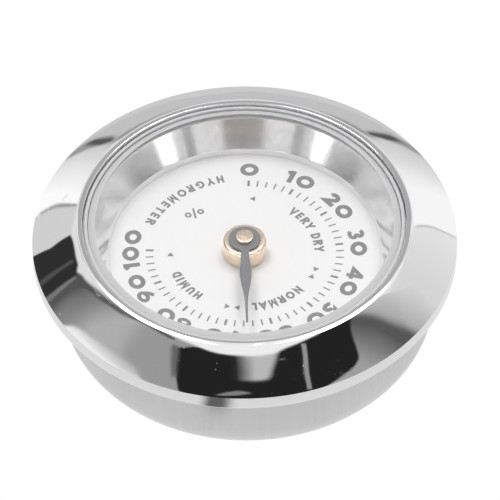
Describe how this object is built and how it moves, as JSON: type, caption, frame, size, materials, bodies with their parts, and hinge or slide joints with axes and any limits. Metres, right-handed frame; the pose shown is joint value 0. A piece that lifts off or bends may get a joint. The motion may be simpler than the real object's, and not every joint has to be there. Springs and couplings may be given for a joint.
{
  "type": "dial hygrometer",
  "caption": "Round insert dial hygrometer with a plated bezel, white percent dial, brass boss, coil-driven pointer and a drawn metal can.",
  "frame": {"origin": "centre of the flat back of the can", "axes": "+Z along the dial's axis towards the glass; +Y towards the dial's 50 percent mark"},
  "size_m": [0.05, 0.05, 0.0167],
  "materials": {
    "chrome_plate": "bright plated, lightly handled",
    "grey_gasket": "satin grey sealing ring",
    "clear_glass": "clear flat glass with a bevelled edge",
    "polished_aluminium": "spun and polished",
    "dial_white": "satin white with grey print",
    "satin_case": "drawn and satin plated",
    "brass": "turned, bare",
    "steel": "bright steel",
    "pointer_grey": "satin dark grey",
    "humidity_strip": "waxed moisture-sensitive strip on metal"
  },
  "bodies": {
    "case": {"bezel": "chrome_plate", "glass_gasket": "grey_gasket", "front_glass": "clear_glass", "reflector_cup": "polished_aluminium", "dial_plate": "dial_white", "dial_ring": "steel", "rear_case": "satin_case", "movement_plate": "brass", "bridge": "brass", "pillar_left": "brass", "pillar_right": "brass", "bridge_screw_left": "steel", "bridge_screw_right": "steel", "bearing_bush": "brass", "bush_nut": "brass"},
    "calibration": {"adjuster": "brass", "wave_washer": "steel", "calibration_arm": "brass", "arm_collar": "brass", "anchor_post": "brass", "humidity_coil": "humidity_strip"},
    "pointer_shaft": {"arbor": "steel", "coil_collet": "brass", "pointer": "pointer_grey", "pointer_rivet": "brass"}
  },
  "joints": [
    {"name": "calibration_turn", "type": "hinge", "parent": "case", "child": "calibration", "pos_m": [0, 0, 0.0024], "axis": [0, 0, -1], "range_deg": [-30, 30]},
    {"name": "pointer_turn", "type": "hinge", "parent": "calibration", "child": "pointer_shaft", "pos_m": [0, 0, 0.012], "axis": [0, 0, -1], "range_deg": [-176.31, 93.69], "stiffness_Nm_per_rad": 0.00002, "deforming": ["humidity_coil"]}
  ]
}
